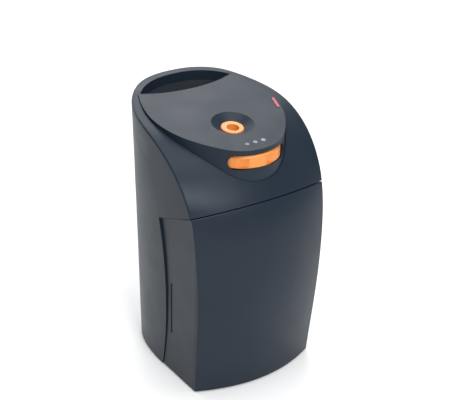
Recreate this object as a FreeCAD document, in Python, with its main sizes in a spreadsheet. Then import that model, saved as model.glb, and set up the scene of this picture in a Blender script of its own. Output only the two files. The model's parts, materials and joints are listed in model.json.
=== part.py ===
"""Motor-driven desk pencil sharpener with a pencil cup, a point selector and a shavings drawer.

Millimetres. +Z is up and the front faces -Y. The origin lies on the desk, under the middle of the
object's box. Most places are given as (x, ahead, z), where ahead is the distance in front of the
pencil's axis, which stands upright at y = port_y.
"""
import FreeCAD, Part
import math
import os
import re

import Sketcher
from FreeCAD import Placement, Rotation, Vector

DIMENSIONS = [
    # Outer form
    ("port_y", -17.1, "pencil axis"),
    ("column_base_half", 48.8, "half width of the column at the desk"),
    ("column_base_back", 77.0, "reach of the column behind its waist at the desk"),
    ("column_base_power", 2.8, "squareness of the column's oval at the desk"),
    ("column_top_half", 56.6, "half width at column_top"),
    ("column_top_back", 72.4, "reach behind the waist at column_top"),
    ("column_top_power", 2.3, "squareness at column_top"),
    ("column_top", 210.0, "height where the column's loft ends, above the deck"),
    ("waist_ahead", -5.0, "where the oval is widest"),
    ("nose_reach", 120.0, "how slowly the sides close in ahead of the waist"),
    ("nose_power", 2.35, "squareness of the sides ahead of the waist"),
    ("front_bow_radius", 94.7, "sideways crown of the front"),
    ("front_half", 50.0, "where SIDE_PROFILE stands, out from the middle"),
    ("wall", 2.4, "housing wall"),
    ("rim_wall", 5.0, "width of the rolled rim round the cup"),
    ("skirt_z", 1.2, "lower edge of the housings"),
    ("deck_rise", 179.6, "deck height on the pencil axis"),
    ("deck_slope", 0.18, "deck fall per mm ahead"),
    ("part_line_rise", 125.1, "height of the drawer's top edge level with the pencil axis"),
    ("part_line_slope", 0.37, "its rise per mm ahead"),
    ("part_gap", 0.5, "gap round the drawer"),
    ("crease_radius", 1.2, "edge between the column and the front"),
    ("edge_radius", 0.5, "rolled top edge of the drawer's front"),
    ("flank_half", 48.2, "half width over the drawer's flat flanks at the desk"),
    ("flank_lean", 0.029, "outward lean of the flanks per mm of height"),
    # Deck
    ("deck_wall", 1.8, "skirt of the deck cap"),
    ("deck_plate", 2.2, "plate of the deck cap"),
    ("deck_gap", 0.4, "gap between the deck cap and the shoulder"),
    ("cup_arc_radius", 95.0, "curve of the cup's front wall"),
    ("cup_front", -49.9, "the cup's front wall at the middle"),
    ("cup_floor", 56.0, "underside of the cup"),
    ("cup_wall", 1.8, "wall of the cup"),
    ("cup_drop", 7.0, "depth of the rim before the cup insert starts"),
    ("slot_low", 161.0, "thumbwheel slot, lower edge"),
    ("slot_high", 170.8, "thumbwheel slot, upper edge"),
    ("slot_half_angle", 40.0, "thumbwheel slot, half of its sweep round the pencil axis"),
    ("dish_radius", 14.5, "dish round the port at the deck"),
    ("dish_depth", 3.4, "dish depth"),
    ("guide_head_radius", 7.7, "ring of the pencil guide"),
    ("guide_radius", 6.2, "sleeve of the pencil guide"),
    ("guide_bore", 4.25, "bore for the pencil"),
    ("guide_low", 159.0, "lower end of the pencil guide"),
    ("mark_radius", 1.5, "point marks"),
    ("mark_pitch", 6.3, "point marks, spacing"),
    ("mark_ahead", 25.2, "point marks, ahead of the pencil axis"),
    # Thumbwheel
    ("dial_ahead", 8.8, "thumbwheel centre"),
    ("dial_radius", 26.0, "thumbwheel, outside its lobes"),
    ("dial_room", 0.35, "free space round the thumbwheel"),
    ("dial_bore", 16.2, "thumbwheel, bore"),
    ("dial_low", 161.4, "thumbwheel, underside"),
    ("dial_high", 169.9, "thumbwheel, top of its rim"),
    ("dial_lobes", 8, "lobes round the thumbwheel"),
    ("hollow_radius", 12.0, "finger hollows between the lobes"),
    ("hollow_depth", 1.1, "finger hollows between the lobes"),
    ("hollow_turn", 13.0, "first hollow, degrees to the right of the front"),
    # Levels of the mechanism
    ("base_low", 1.6, "underside of the base plate"),
    ("base_high", 4.0, "top of the base plate"),
    ("bay_back", -14.5, "back of the drawer bay's wall"),
    ("bay_front", -12.0, "front of the drawer bay's wall"),
    ("shelf_low", 89.5, "underside of the shelf over the drawer"),
    ("shelf_high", 92.0, "top of the shelf"),
    ("frame_low", 95.2, "underside of the gear frame's plate"),
    ("frame_high", 98.0, "top of the gear frame's plate"),
    ("plate_low", 109.0, "underside of the motor plate"),
    ("plate_high", 111.0, "top of the motor plate"),
    # Gears
    ("pressure_angle", 25.0, "all gears"),
    ("backlash", 0.12, "thinning of every tooth at the pitch line"),
    ("fine_module", 0.5, "motor pinion and the idler's large gear"),
    ("coarse_module", 0.8, "idler's small gear and the carrier gear"),
    ("motor_pinion_teeth", 12, ""),
    ("idler_large_teeth", 48, ""),
    ("idler_small_teeth", 12, ""),
    ("carrier_teeth", 44, ""),
    ("ring_teeth", 32, "fixed internal ring"),
    ("planet_teeth", 10, "pinion on the cutter"),
    ("ring_pitch_radius", 15.0, "at the middle of its face"),
    ("ring_mid", 150.5, "height of the middle of the ring gear's face"),
    # Motor
    ("motor_back", 32.5, "motor axis behind the pencil axis"),
    ("motor_radius", 14.0, "motor can"),
    ("motor_top", 146.5, "top of the motor can"),
    ("motor_shaft_radius", 1.15, ""),
    # Cutter
    ("cutter_tilt", 11.0, "cutter axis from upright: half the point's angle"),
    ("cutter_radius", 5.0, ""),
    ("cutter_flutes", 9, ""),
    ("cutter_bore", 1.55, ""),
    ("cutter_axle_radius", 1.5, ""),
    ("carrier_radius", 13.0, ""),
    ("journal_radius", 8.0, "carrier's lower journal"),
    # Point depth stop
    ("stop_low", 92.95, "underside of the depth stop's arm"),
    ("stop_x", 18.5, "push rod of the depth stop"),
    ("stop_ahead", 21.9, "push rod of the depth stop"),
]
ALIASES = {alias for alias, value, note in DIMENSIONS}

# Side views of the front and shoulder, as (ahead, z): down the middle, and front_half out from it.
MIDDLE_PROFILE = [
    (37.2, -2), (44.1, 50), (47.7, 102), (45.6, 125), (40.9, 140), (34.5, 151), (23.1, 164),
    (6.9, 174), (-9.4, 179.6), (-32.2, 184.8), (-79.4, 196.5), (-97.4, 200.5),
]
SIDE_PROFILE = [
    (24.3, -2), (31.2, 50), (34.9, 102), (33.4, 125.3), (29.4, 141.2), (23.3, 152.8), (11.9, 165.8),
    (-4.3, 175.9), (-20.6, 181.5), (-44.8, 186.8), (-92, 198), (-110, 202),
]
# Side view of the drawer's rear edge, from the desk up.
DRAWER_EDGE = [(-18.0, -4), (-9.1, 32), (-5.7, 58), (-4.6, 83), (-5.8, 105), (-8.0, 122.1)]
# Side view of the seam between the column and the shoulder, from the drawer's corner to the back.
SHOULDER_SEAM = [(-8.0, 122.1), (-13, 143), (-20, 157), (-29.4, 164), (-42, 168), (-62, 171), (-95, 173)]
# Half outline of the deck from above, from its front to the tip beside the cup, as (x, ahead).
DECK_OUTLINE = [(18.2, 28.6), (30, 17.2), (39.5, 3), (45.0, -13), (46.0, -28), (43.2, -43), (38.2, -56.5)]
DECK_FRONT = (0, 33.7)

BASE_SCREWS = [(-42.0, -27), (42.0, -27), (-27.5, -69), (27.5, -69)]
FEET = [(-33, 12), (33, 12), (-22, -62), (22, -62)]
COVER_POSTS = [(-34, 14), (34, 14), (-38, -32), (38, -32)]
FRAME_CORNERS = [(-21, 22), (21.5, 8), (-21, -18), (22.5, -38)]
RING_POST_ANGLES = [55, 150, 200, 340]
RING_POST_RADIUS = 21.5

doc = FreeCAD.newDocument("desk_sharpener")
sheet = doc.addObject("Spreadsheet::Sheet", "Sizes")
for row, (alias, value, note) in enumerate(DIMENSIONS, start=1):
    sheet.set(f"A{row}", alias)
    sheet.set(f"B{row}", str(value))
    sheet.set(f"C{row}", note)
    sheet.setAlias(f"B{row}", alias)
doc.recompute()

nodes = []


# ---------------------------------------------------------------- sizes, places and booleans
def formula(text):
    """An expression in the sheet's aliases, as the document reads it."""
    return re.sub(r"[a-z]\w*", lambda name: "Sizes." + name[0] if name[0] in ALIASES else name[0], str(text))


def size(text):
    """The value of an expression in the sheet's aliases."""
    return float(sheet.evalExpression(formula(text)))


def at(x, ahead, z):
    return Vector(x, size("port_y") - ahead, z)


def name_node(item, label):
    item.Label = label
    nodes.append(item)
    return item


def shape_node(label, shape):
    """A sub-part whose shape comes from Part's own functions."""
    item = doc.addObject("Part::Feature", label)
    item.Shape = shape
    item.Placement = shape.Placement
    return name_node(item, label)


def primitive(kind, name, place, rotation=None, **sizes):
    """A Part primitive with its sizes and place bound to the sheet; place is (x, y, z)."""
    item = doc.addObject("Part::" + kind, name)
    for prop, text in sizes.items():
        item.setExpression(prop, formula(text))
    if rotation is not None:
        item.Placement = Placement(Vector(), rotation)
    for axis, text in zip("xyz", place):
        item.setExpression("Placement.Base." + axis, formula(text))
    return item


def upright(name, radius, low, high, x="0", ahead="0"):
    """An upright cylinder between two heights."""
    return primitive("Cylinder", name, (x, f"port_y - ({ahead})", low), Radius=radius,
                     Height=f"({high}) - ({low})")


def block(name, low, high):
    """A box between two corners given as (x, ahead, z); the first has the smaller ahead."""
    return primitive("Box", name, (low[0], f"port_y - ({high[1]})", low[2]),
                     Length=f"({high[0]}) - ({low[0]})", Width=f"({high[1]}) - ({low[1]})",
                     Height=f"({high[2]}) - ({low[2]})")


def fused(name, items):
    item = doc.addObject("Part::MultiFuse", name)
    item.Shapes = items
    return item


def grouped(name, items):
    item = doc.addObject("Part::Compound", name)
    item.Links = items
    return item


def cut(name, base, tools):
    item = doc.addObject("Part::Cut", name)
    item.Base = base
    item.Tool = tools[0] if len(tools) == 1 else fused(name + "_tools", tools)
    return item


# ---------------------------------------------------------------- sketches and bodies
def new_body(label):
    return name_node(doc.addObject("PartDesign::Body", label), label)


def new_sketch(body, role, offset="0"):
    """A sketch on one of the body's own origin planes, moved along the plane's normal by offset."""
    plane = next(item for item in body.Origin.OriginFeatures if item.Role == role)
    sketch = body.newObject("Sketcher::SketchObject", body.Name + "_sketch")
    sketch.AttachmentSupport = (plane, [""])
    sketch.MapMode = "FlatFace"
    sketch.setExpression("AttachmentOffset.Base.z", formula(offset))
    return sketch


def add_circle(sketch, x, y, radius):
    """A circle with its centre and radius bound to the sheet."""
    centre = Vector(size(x), size(y), 0)
    number = sketch.addGeometry(Part.Circle(centre, Vector(0, 0, 1), size(radius)))
    bind_point(sketch, number, 3, x, y)
    last = sketch.addConstraint(Sketcher.Constraint("Radius", number, size(radius)))
    sketch.setExpression(f"Constraints[{last}]", formula(radius))


def bind_point(sketch, number, end, x, y):
    for kind, text in (("DistanceX", x), ("DistanceY", y)):
        last = sketch.addConstraint(Sketcher.Constraint(kind, -1, 1, number, end, size(text)))
        sketch.setExpression(f"Constraints[{last}]", formula(text))


def add_polygon(sketch, corners):
    """Straight edges through corners given as pairs of expressions."""
    points = [Vector(size(x), size(y), 0) for x, y in corners]
    first = sketch.GeometryCount
    for start, end in zip(points, points[1:] + points[:1]):
        sketch.addGeometry(Part.LineSegment(start, end))
    for step, (x, y) in enumerate(corners):
        number = first + step
        following = first + (step + 1) % len(corners)
        sketch.addConstraint(Sketcher.Constraint("Coincident", number, 2, following, 1))
        bind_point(sketch, number, 1, x, y)


def set_place(body, x="0", ahead="0", z="0"):
    for axis, text in zip("xyz", (x, f"port_y - ({ahead})", z)):
        body.setExpression("Placement.Base." + axis, formula(text))


def turned_body(label, corners, x="0", ahead="0", z="0"):
    """A body turned about an upright axis from (radius, height) corners."""
    body = new_body(label)
    sketch = new_sketch(body, "XZ_Plane")
    add_polygon(sketch, corners)
    doc.recompute()
    turned = body.newObject("PartDesign::Revolution", label + "_turned")
    turned.Profile = sketch
    turned.ReferenceAxis = (sketch, ["V_Axis"])
    turned.Angle = 360
    set_place(body, x, ahead, z)
    return body


# ---------------------------------------------------------------- the outer form
def oval(inset, z):
    """The column's outline at a height: a squared oval, open to a flat cut far ahead."""
    height_share = (z + 1) / (size("column_top") + 1)

    def between(name):
        return size(f"column_base_{name}") * (1 - height_share) + size(f"column_top_{name}") * height_share

    half = between("half") - inset
    back = between("back") - inset
    power = between("power")
    waist = size("waist_ahead")
    side = []
    for ahead in (62, 40, 20):
        closing = ((ahead - waist) / size("nose_reach")) ** size("nose_power")
        side.append((half * (1 - closing) ** (1 / size("nose_power")), ahead))
    steps = 8
    for step in range(steps + 1):
        angle = math.pi / 2 * step / steps
        side.append((half * math.cos(angle) ** (2 / power), waist - back * math.sin(angle) ** (2 / power)))
    points = [at(-x, ahead, z) for x, ahead in side[:-1]] + [at(x, ahead, z) for x, ahead in reversed(side)]
    curve = Part.BSplineCurve()
    curve.interpolate(points)
    return Part.Wire([curve.toShape(), Part.makeLine(points[-1], points[0])])


def front_points(x):
    """The front's side view at one x: a round bow across, with creases that lift near the sides."""
    radius = size("front_bow_radius")
    side_bow = bow_depth(size("front_half"), radius)
    lift = (x / size("front_half")) ** 4
    points = []
    for (middle_ahead, middle_z), (side_ahead, side_z) in zip(MIDDLE_PROFILE, SIDE_PROFILE):
        extra = side_ahead - (middle_ahead - side_bow)
        ahead = middle_ahead - bow_depth(x, radius) + extra * lift
        points.append((ahead, middle_z + (side_z - middle_z) * lift))
    return points


def bow_depth(x, radius):
    """How far a circle falls back at x."""
    return radius - math.sqrt(radius * radius - x * x)


def front_section(inset, x):
    """The solid side of the front's side view at one x, for the loft across the width."""
    points = [at(x, ahead, z) for ahead, z in front_points(x)]
    curve = Part.BSplineCurve()
    curve.interpolate(points)
    if inset:
        moved = []
        for point in points:
            along = curve.tangent(curve.parameter(point))[0]
            moved.append(point + Vector(0, along.z, -along.y).normalize() * inset)
        curve = Part.BSplineCurve()
        curve.interpolate(moved)
    start = curve.StartPoint
    end = curve.EndPoint
    behind = size("port_y") + 130
    high = Vector(x, behind, end.z)
    low = Vector(x, behind, start.z)
    return Part.Wire([curve.toShape(), Part.makeLine(end, high), Part.makeLine(high, low),
                      Part.makeLine(low, start)])


def column_form(inset):
    """The drafted oval column alone, drawn in by inset."""
    return Part.makeLoft([oval(inset, -1), oval(inset, size("column_top"))], True, True)


def outer_form(inset=0):
    """The whole outside as one solid, drawn in by inset, before the deck cuts its top."""
    places = (-62, -54, -46, -36, -20, 0, 20, 36, 46, 54, 62)
    front = Part.makeLoft([front_section(inset, x) for x in places], True)
    return column_form(inset).common(front)


def rounded(shape, edges, radius):
    """Rolls the given edges, or leaves the shape as it is where the kernel can't roll them."""
    try:
        result = shape.makeFillet(radius, edges)
    except Part.OCCError:
        return shape
    return result if result.isValid() and len(result.Solids) == 1 else shape


def rolled_crease(form):
    """The outer form with the long crease between the column and the front rolled."""
    solid = form.Solids[0]
    return rounded(solid, [max(solid.Edges, key=lambda edge: edge.Length)], size("crease_radius"))


def shared_edges(shape, first, second):
    """The edges of a shape that lie in the skins of two other shapes at once."""
    picked = []
    for edge in shape.Edges:
        span = edge.LastParameter - edge.FirstParameter
        points = [Part.Vertex(edge.valueAt(edge.FirstParameter + span * share)) for share in (0.2, 0.5, 0.8)]
        skins = (first.Shells[0], second.Shells[0])
        if all(point.distToShape(skin)[0] < 0.01 for point in points for skin in skins):
            picked.append(edge)
    return picked


def side_prism(points, half=70.0):
    """A prism across the whole width from a side view given as (ahead, z) points."""
    corners = [at(-half, ahead, z) for ahead, z in points]
    return Part.Face(Part.makePolygon(corners + corners[:1])).extrude(Vector(2 * half, 0, 0))


def side_region(curve_points, straight_points, half=70.0):
    """A prism across the width whose side view is a smooth curve closed by straight edges."""
    curve = Part.BSplineCurve()
    curve.interpolate([at(-half, ahead, z) for ahead, z in curve_points])
    corners = [curve.EndPoint] + [at(-half, ahead, z) for ahead, z in straight_points] + [curve.StartPoint]
    lines = [Part.makeLine(start, end) for start, end in zip(corners, corners[1:])]
    return Part.Face(Part.Wire([curve.toShape()] + lines)).extrude(Vector(2 * half, 0, 0))


def deck_height(ahead):
    return size("deck_rise") - size("deck_slope") * ahead


def under_deck(drop=0.0):
    """All the space below the deck's plane, or below a plane drop under it."""
    return side_prism([(-120, -20), (90, -20), (90, deck_height(90) - drop), (-120, deck_height(-120) - drop)])


def part_line(ahead):
    return size("part_line_rise") + size("part_line_slope") * ahead


def drawer_region(gap):
    """The space of the drawer: below the parting plane and ahead of the drawer's rear edge."""
    edge = [(ahead + gap, z - gap * 0.6) for ahead, z in DRAWER_EDGE]
    return side_region(edge, [(70, part_line(70) - gap), (70, -4)])


def above_seam(gap):
    """The space of the shoulder: above the seam and above the drawer."""
    seam = [(ahead, z + gap) for ahead, z in SHOULDER_SEAM]
    return side_region(seam, [(-95, 230), (80, 230), (80, part_line(80) + gap)])


def between_flanks(inset, reach=160):
    """The space between the drawer's two flat flanks, which lean outwards a little."""
    low = size("flank_half") - inset
    high = low + 150 * size("flank_lean")
    corners = [at(-low, -reach, 0), at(low, -reach, 0), at(high, -reach, 150), at(-high, -reach, 150)]
    slab = Part.Face(Part.makePolygon(corners + corners[:1])).extrude(Vector(0, -2 * reach, 0))
    foot = Part.makeBox(2 * low, 2 * reach, 10, at(-low, reach, -10))
    return slab.fuse(foot)


def cup_front_space(offset):
    """The space behind the cup's curved front wall, moved back by offset."""
    centre_ahead = size("cup_front") - size("cup_arc_radius")
    return Part.makeCylinder(size("cup_arc_radius") - offset, 260, at(0, centre_ahead, -20))


def deck_face(growth):
    """The deck's outline from above as a flat face, grown or shrunk sideways."""
    right = [(x, ahead) for x, ahead in reversed(DECK_OUTLINE)]
    left = [(-x, ahead) for x, ahead in DECK_OUTLINE]
    points = [at(x, ahead, 100) for x, ahead in right + [DECK_FRONT] + left]
    rim = Part.BSplineCurve()
    rim.interpolate(points)
    moved = []
    for point in points:
        along = rim.tangent(rim.parameter(point))[0]
        moved.append(point + Vector(-along.y, along.x, 0) * growth)
    for end, sign in ((0, -1), (-1, 1)):
        moved[end] += rim.tangent(rim.parameter(points[end]))[0] * sign * growth
    rim = Part.BSplineCurve()
    rim.interpolate(moved)
    back = Part.Arc(moved[-1], at(0, size("cup_front") - growth, 100), moved[0])
    return Part.Face(Part.Wire([rim.toShape(), back.toShape()]))


def deck_prism(growth):
    """The space over the deck's outline, grown or shrunk sideways."""
    return deck_face(growth).extrude(Vector(0, 0, 130))


def cylinder_between(start, end, radius):
    along = end - start
    return Part.makeCylinder(radius, along.Length, start, along)


def frame_of_deck(ahead=0.0, x=0.0):
    """The placement whose Z is square to the deck, at a point of its surface."""
    lean = math.degrees(math.atan(size("deck_slope")))
    return Placement(at(x, ahead, deck_height(ahead)), Rotation(Vector(1, 0, 0), lean))


# ---------------------------------------------------------------- housings
def make_housings():
    wall = size("wall")
    outer = rolled_crease(outer_form())
    inner = outer_form(wall)
    rim_inner = column_form(size("rim_wall"))
    above_desk = Part.makeBox(200, 200, 260, Vector(-100, -100, size("skirt_z")))
    body = outer.common(under_deck()).common(above_desk)
    shell = body.cut(inner.common(under_deck(wall)))

    make_rear_column(shell)
    make_upper_cover(body, shell, rim_inner)
    make_drawer_front(outer, above_desk)
    make_pencil_cup()
    make_deck_cap()


def make_rear_column(shell):
    """Oval rear and side shell with screw bosses at its foot and a round hole for the power inlet."""
    column = shell.cut(drawer_region(0)).cut(above_seam(0))
    column = column.common(Part.makeBox(200, 200, 175, Vector(-100, -100, 0)))
    for x, ahead in BASE_SCREWS:
        boss = Part.makeCylinder(3.6, 16, at(x, ahead, size("base_high")))
        column = column.fuse(boss.common(outer_form(1.0)))
    for x, ahead in BASE_SCREWS:
        column = column.cut(Part.makeCylinder(1.3, 14, at(x, ahead, 0)))
    inlet = Part.makeCylinder(5.65, 12, at(0, -76, 20), Vector(0, 1, 0))
    shape_node("rear_column", main_solid(column.cut(inlet)))


def main_solid(shape):
    """The largest solid, without slivers that a boolean may leave."""
    return max(shape.removeSplitter().Solids, key=lambda solid: solid.Volume)


def make_upper_cover(body, shell, rim_inner):
    """Shoulder shell with the thick rim round the cup, the deck's recess and four screw bosses."""
    region = above_seam(0.25)
    lip_zone = side_prism([(-44, deck_height(-44) + 5), (-44, deck_height(-44) - size("cup_drop")),
                           (-110, deck_height(-110) - size("cup_drop")), (-110, deck_height(-110) + 5)])
    lip = body.cut(rim_inner).common(lip_zone)
    cover = shell.common(region)
    for x, ahead in COVER_POSTS:
        boss = Part.makeCylinder(3.6, 60, at(x, ahead, 140))
        cover = cover.fuse(boss.common(body.cut(outer_form(size("wall") + 9))))
    cover = cover.fuse(lip)
    cover = cover.cut(deck_prism(size("deck_gap")))
    cover = cover.cut(rim_inner.common(cup_front_space(0)))
    for x, ahead in COVER_POSTS:
        cover = cover.cut(Part.makeCylinder(1.2, 16, at(x, ahead, 139)))
    shape_node("upper_cover", main_solid(cover))


def make_drawer_front(outer, above_desk):
    """Bowed front wall with its flat flanks, finger grooves and bosses for the bin's screws."""
    wall = size("wall")
    whole = outer.common(between_flanks(0)).common(above_desk).common(drawer_region(size("part_gap")))
    hollow = outer_form(wall).common(between_flanks(wall))
    front = whole.cut(hollow)
    for x in (-24, 24):
        boss = Part.makeCylinder(3.4, 12, at(x, 33, 60), Vector(0, -1, 0))
        front = front.fuse(boss.common(outer_form(1.0)).cut(outer_form(3.2 + wall)))
        front = front.cut(Part.makeCylinder(1.15, 10.5, at(x, 28, 60), Vector(0, -1, 0)))
    for side in (-1, 1):
        front = front.cut(finger_groove(side))
    front = main_solid(front)
    top_edge = shared_edges(front, outer, drawer_region(size("part_gap")))
    shape_node("drawer_front", rounded(front, top_edge, size("edge_radius")))


def finger_groove(side):
    """A slim upright groove in one flank."""
    low = at(side * (size("flank_half") + 0.9), -2.1, 34.4)
    high = at(side * (size("flank_half") + 1.9), 1.2, 75.6)
    return cylinder_between(low, high, 0.95)


def make_pencil_cup():
    """The cup's well: an insert inside the column's back that ends below the rim."""
    drop = size("cup_drop") + 0.3
    zone = Part.makeBox(200, 200, 250, Vector(-100, -100, size("cup_floor")))
    outside = column_form(size("wall") + 0.3).common(cup_front_space(-size("cup_wall")))
    inside = column_form(size("rim_wall")).common(cup_front_space(0))
    inside_zone = Part.makeBox(200, 200, 250, Vector(-100, -100, size("cup_floor") + 2))
    cup = outside.common(zone).common(under_deck(drop)).cut(inside.common(inside_zone))
    shape_node("pencil_cup", main_solid(cup))


def make_deck_cap():
    """Tilted deck with its skirt, the dish, the thumbwheel's slot and its bearing collar."""
    plate = size("deck_plate")
    skirt = deck_prism(0).common(under_deck())
    skirt = skirt.cut(deck_prism(-size("deck_wall")).common(under_deck(plate)))
    buried = outer_form(4.0).common(side_prism([(-44, 0), (60, 0), (60, 260), (-44, 260)]))
    low_back = side_prism([(-120, 0), (-44, 0), (-44, deck_height(-44) - size("cup_drop")),
                           (-120, deck_height(-120) - size("cup_drop"))])
    cap = skirt.cut(buried).cut(low_back)

    collar = Part.makeCylinder(size("dial_bore") - 0.1, 30, at(0, size("dial_ahead"), size("dial_low") - 0.4))
    collar = collar.cut(Part.makeCylinder(size("dial_bore") - 2.2, 40, at(0, size("dial_ahead"), 150)))
    seat = Part.makeCylinder(size("dish_radius") + 1.6, 5.4, Vector(0, 0, -6.0), Vector(0, 0, 1))
    seat.Placement = frame_of_deck()
    cap = cap.fuse(collar.common(under_deck(0.5))).fuse(seat)
    cap = cap.common(under_deck())

    dish = Part.makeCone(size("guide_head_radius") + 0.2, size("dish_radius"), size("dish_depth"),
                         Vector(0, 0, -size("dish_depth")), Vector(0, 0, 1))
    head_room = Part.makeCylinder(size("guide_head_radius") + 0.1, 2.0, Vector(0, 0, -size("dish_depth") - 1.6))
    for tool in (dish, head_room):
        tool.Placement = frame_of_deck()
        cap = cap.cut(tool)
    cap = cap.cut(Part.makeCylinder(size("guide_radius") + 0.1, 60, at(0, 0, 150)))
    cap = cap.cut(thumb_slot()).cut(dial_space())
    for place in mark_places():
        pit = Part.makeCylinder(size("mark_radius") + 0.05, 2, Vector(0, 0, -0.6))
        pit.Placement = place
        cap = cap.cut(pit)
    shape_node("deck_cap", main_solid(cap.cut(lens_shape(0.1))))


def thumb_slot():
    """The slot's space: a band round the pencil axis with round ends."""
    low = size("slot_low")
    high = size("slot_high")
    radius = (high - low) / 2
    middle = (high + low) / 2
    half_angle = size("slot_half_angle")
    end_angle = half_angle - math.degrees(radius / 33.5)
    reach = 45.0
    wedge = [Vector(0, 0, low)]
    steps = 4
    for step in range(steps + 1):
        angle = math.radians(-end_angle + 2 * end_angle * step / steps)
        wedge.append(Vector(reach * math.sin(angle), -reach * math.cos(angle), low))
    band = Part.Face(Part.makePolygon(wedge + wedge[:1])).extrude(Vector(0, 0, high - low))
    for side in (-1, 1):
        angle = math.radians(side * end_angle)
        end = Part.makeCylinder(radius, reach, Vector(0, 0, middle), Vector(math.sin(angle), -math.cos(angle), 0))
        band = band.fuse(end)
    band.translate(at(0, 0, 0))
    keep = Part.makeCylinder(29.0, 30, at(0, 0, 155))
    return band.cut(keep)


def dial_space():
    """The ring that the thumbwheel sweeps, with its free space, outside its collar."""
    room = size("dial_room")
    low = at(0, size("dial_ahead"), size("dial_low") - room)
    height = size("dial_high") - size("dial_low") + 2 * room
    ring = Part.makeCylinder(size("dial_radius") + room, height, low)
    return ring.cut(Part.makeCylinder(size("dial_bore") + 1, height, low))


def mark_places():
    return [frame_of_deck(size("mark_ahead"), x) for x in (-size("mark_pitch"), 0, size("mark_pitch"))]


def lens_shape(growth=0.0):
    """A slim rounded bar let into the deck near its right edge."""
    half_length = 5.4
    half_width = 1.0 + growth
    bar = Part.makeBox(2 * half_width, 2 * half_length, 1.6, Vector(-half_width, -half_length, -1.2))
    for end in (-half_length, half_length):
        bar = bar.fuse(Part.makeCylinder(half_width, 1.6, Vector(0, end, -1.2)))
    bar.Placement = frame_of_deck(-10.5, 42.2).multiply(Placement(Vector(), Rotation(Vector(0, 0, 1), -17)))
    return bar.removeSplitter()


def make_deck_trim():
    """Three inlaid dots, each a disc, and the lamp's lens."""
    discs = []
    for place in mark_places():
        disc = Part.makeCylinder(size("mark_radius"), 0.7, Vector(0, 0, -0.6))
        disc.Placement = place
        discs.append(disc)
    shape_node("point_marks", Part.makeCompound(discs))
    shape_node("indicator_lens", lens_shape())


# ---------------------------------------------------------------- guide and thumbwheel
def make_pencil_guide():
    """Bush with a ring that lies square to the deck at the bottom of the dish."""
    head = Part.makeCylinder(size("guide_head_radius"), 1.9, Vector(0, 0, -size("dish_depth") - 1.5))
    head = head.makeFillet(0.5, [head.Edges[0]])
    head.Placement = frame_of_deck()
    sleeve = Part.makeCylinder(size("guide_radius"), 60, at(0, 0, size("guide_low")))
    sleeve = sleeve.common(under_deck(size("dish_depth") + 0.5))
    bore = Part.makeCylinder(size("guide_bore"), 80, at(0, 0, 140))
    shape_node("pencil_guide", main_solid(head.fuse(sleeve).cut(bore)))


def make_selector_dial():
    """Thumbwheel: a broad ring with a shallow finger hollow between each two lobes."""
    body = new_body("selector_dial")
    sketch = new_sketch(body, "XZ_Plane")
    rim = "dial_high - dial_low"
    add_polygon(sketch, [("dial_bore", "0"), ("dial_radius - 0.8", "0"), ("dial_radius", "0.8"),
                         ("dial_radius", f"{rim} - 1.2"), ("dial_radius - 1.2", rim), ("dial_radius - 5", rim),
                         ("dial_radius - 5", f"{rim} - 3"), ("dial_bore", f"{rim} - 3")])
    doc.recompute()
    ring = body.newObject("PartDesign::Revolution", "dial_ring")
    ring.Profile = sketch
    ring.ReferenceAxis = (sketch, ["V_Axis"])
    ring.Angle = 360
    doc.recompute()
    hollow_sketch = new_sketch(body, "XY_Plane", "0.9")
    reach = "(dial_radius + hollow_radius - hollow_depth)"
    add_circle(hollow_sketch, f"sin(hollow_turn) * {reach}", f"-cos(hollow_turn) * {reach}", "hollow_radius")
    hollow = body.newObject("PartDesign::Pocket", "dial_hollow")
    hollow.Profile = hollow_sketch
    hollow.setExpression("Length", formula(f"{rim} - 2.6"))
    hollow.Reversed = True
    pattern = body.newObject("PartDesign::PolarPattern", "dial_hollows")
    pattern.Originals = [hollow]
    axis = next(item for item in body.Origin.OriginFeatures if item.Role == "Z_Axis")
    pattern.Axis = (axis, [""])
    pattern.Angle = 360
    pattern.setExpression("Occurrences", formula("dial_lobes"))
    body.Tip = pattern
    set_place(body, "0", "dial_ahead", "dial_low")

    turned_body("dial_retainer",
                [("dial_bore - 0.9", "0"), ("19.5", "0"), ("19.5", "1.6"), ("dial_bore - 0.9", "1.6")],
                "0", "dial_ahead", "dial_low - 2")


# ---------------------------------------------------------------- gears
def involute(angle):
    return math.tan(angle) - angle


def gear_wire(teeth, module, thinning, addendum, dedendum, phase, z=0.0):
    """An involute gear's outline; phase turns it so that a tooth's middle points that way."""
    pressure = math.radians(size("pressure_angle"))
    pitch = module * teeth / 2
    base = pitch * math.cos(pressure)
    tip = pitch + addendum * module
    root = pitch - dedendum * module
    half_pitch_angle = math.pi / (2 * teeth) - thinning / (2 * pitch)

    def half_angle(radius):
        if radius <= base:
            return half_pitch_angle + involute(pressure)
        return half_pitch_angle + involute(pressure) - involute(math.acos(base / radius))

    def point(radius, angle):
        return Vector(radius * math.cos(angle), radius * math.sin(angle), z)

    flank_start = max(base, root)
    radii = [flank_start + (tip - flank_start) * step / 3 for step in range(4)]
    edges = []
    for tooth in range(teeth):
        middle = phase + 2 * math.pi * tooth / teeth
        rising = [point(radius, middle - half_angle(radius)) for radius in radii]
        falling = [point(radius, middle + half_angle(radius)) for radius in reversed(radii)]
        if root < base:
            edges.append(Part.makeLine(point(root, middle - half_angle(base)), rising[0]))
        edges.append(flank(rising))
        edges.append(Part.Arc(rising[-1], point(tip, middle), falling[0]).toShape())
        edges.append(flank(falling))
        if root < base:
            edges.append(Part.makeLine(falling[-1], point(root, middle + half_angle(base))))
        next_middle = middle + 2 * math.pi / teeth
        start = point(min(root, flank_start), middle + half_angle(flank_start))
        end = point(min(root, flank_start), next_middle - half_angle(flank_start))
        edges.append(Part.Arc(start, point(root, middle + math.pi / teeth), end).toShape())
    return Part.Wire(Part.__sortEdges__(edges))


def flank(points):
    curve = Part.BSplineCurve()
    curve.interpolate(points)
    return curve.toShape()


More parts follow.
